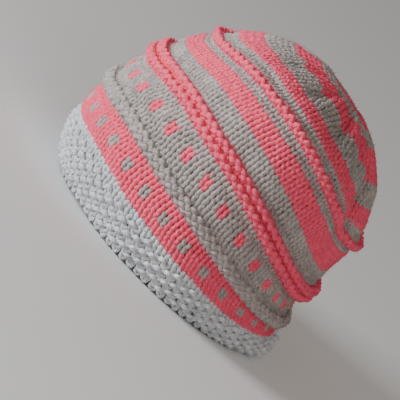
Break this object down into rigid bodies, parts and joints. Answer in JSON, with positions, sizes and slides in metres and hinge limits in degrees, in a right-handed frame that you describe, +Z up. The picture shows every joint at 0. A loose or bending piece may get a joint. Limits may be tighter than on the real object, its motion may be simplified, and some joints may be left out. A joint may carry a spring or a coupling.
{
  "type": "knitted cap",
  "caption": "Close-fitting hand-knitted cap with a seed stitch brim, spotted and plain bands, raised garter ridges and a gathered, slightly slouched crown.",
  "frame": {"origin": "under the middle of the cap's bounding box, on the plane of the rim that it rests on", "axes": "+Z up through the crown, -Y towards the front (brow), +X towards the wearer's left"},
  "size_m": [0.1818, 0.204, 0.1685],
  "materials": {
    "pale_grey_yarn": "soft bulky yarn, matt, slightly fuzzy",
    "grey_yarn": "soft bulky yarn, matt, slightly fuzzy",
    "pink_yarn": "soft bulky yarn, matt, slightly fuzzy"
  },
  "bodies": {
    "root": {"seed_stitch_brim": "pale_grey_yarn", "spotted_pink_band": "pink_yarn", "grey_welt": "grey_yarn", "spotted_grey_band": "grey_yarn", "pink_double_welt": "pink_yarn", "grey_band": "grey_yarn", "pink_band": "pink_yarn", "narrow_grey_band": "grey_yarn", "pink_single_welt": "pink_yarn", "crown_grey_ring": "grey_yarn", "crown_pink_ring": "pink_yarn", "crown_wide_grey_ring": "grey_yarn", "crown_upper_pink_ring": "pink_yarn", "crown_upper_grey_ring": "grey_yarn", "crown_tip": "pink_yarn"}
  },
  "joints": []
}
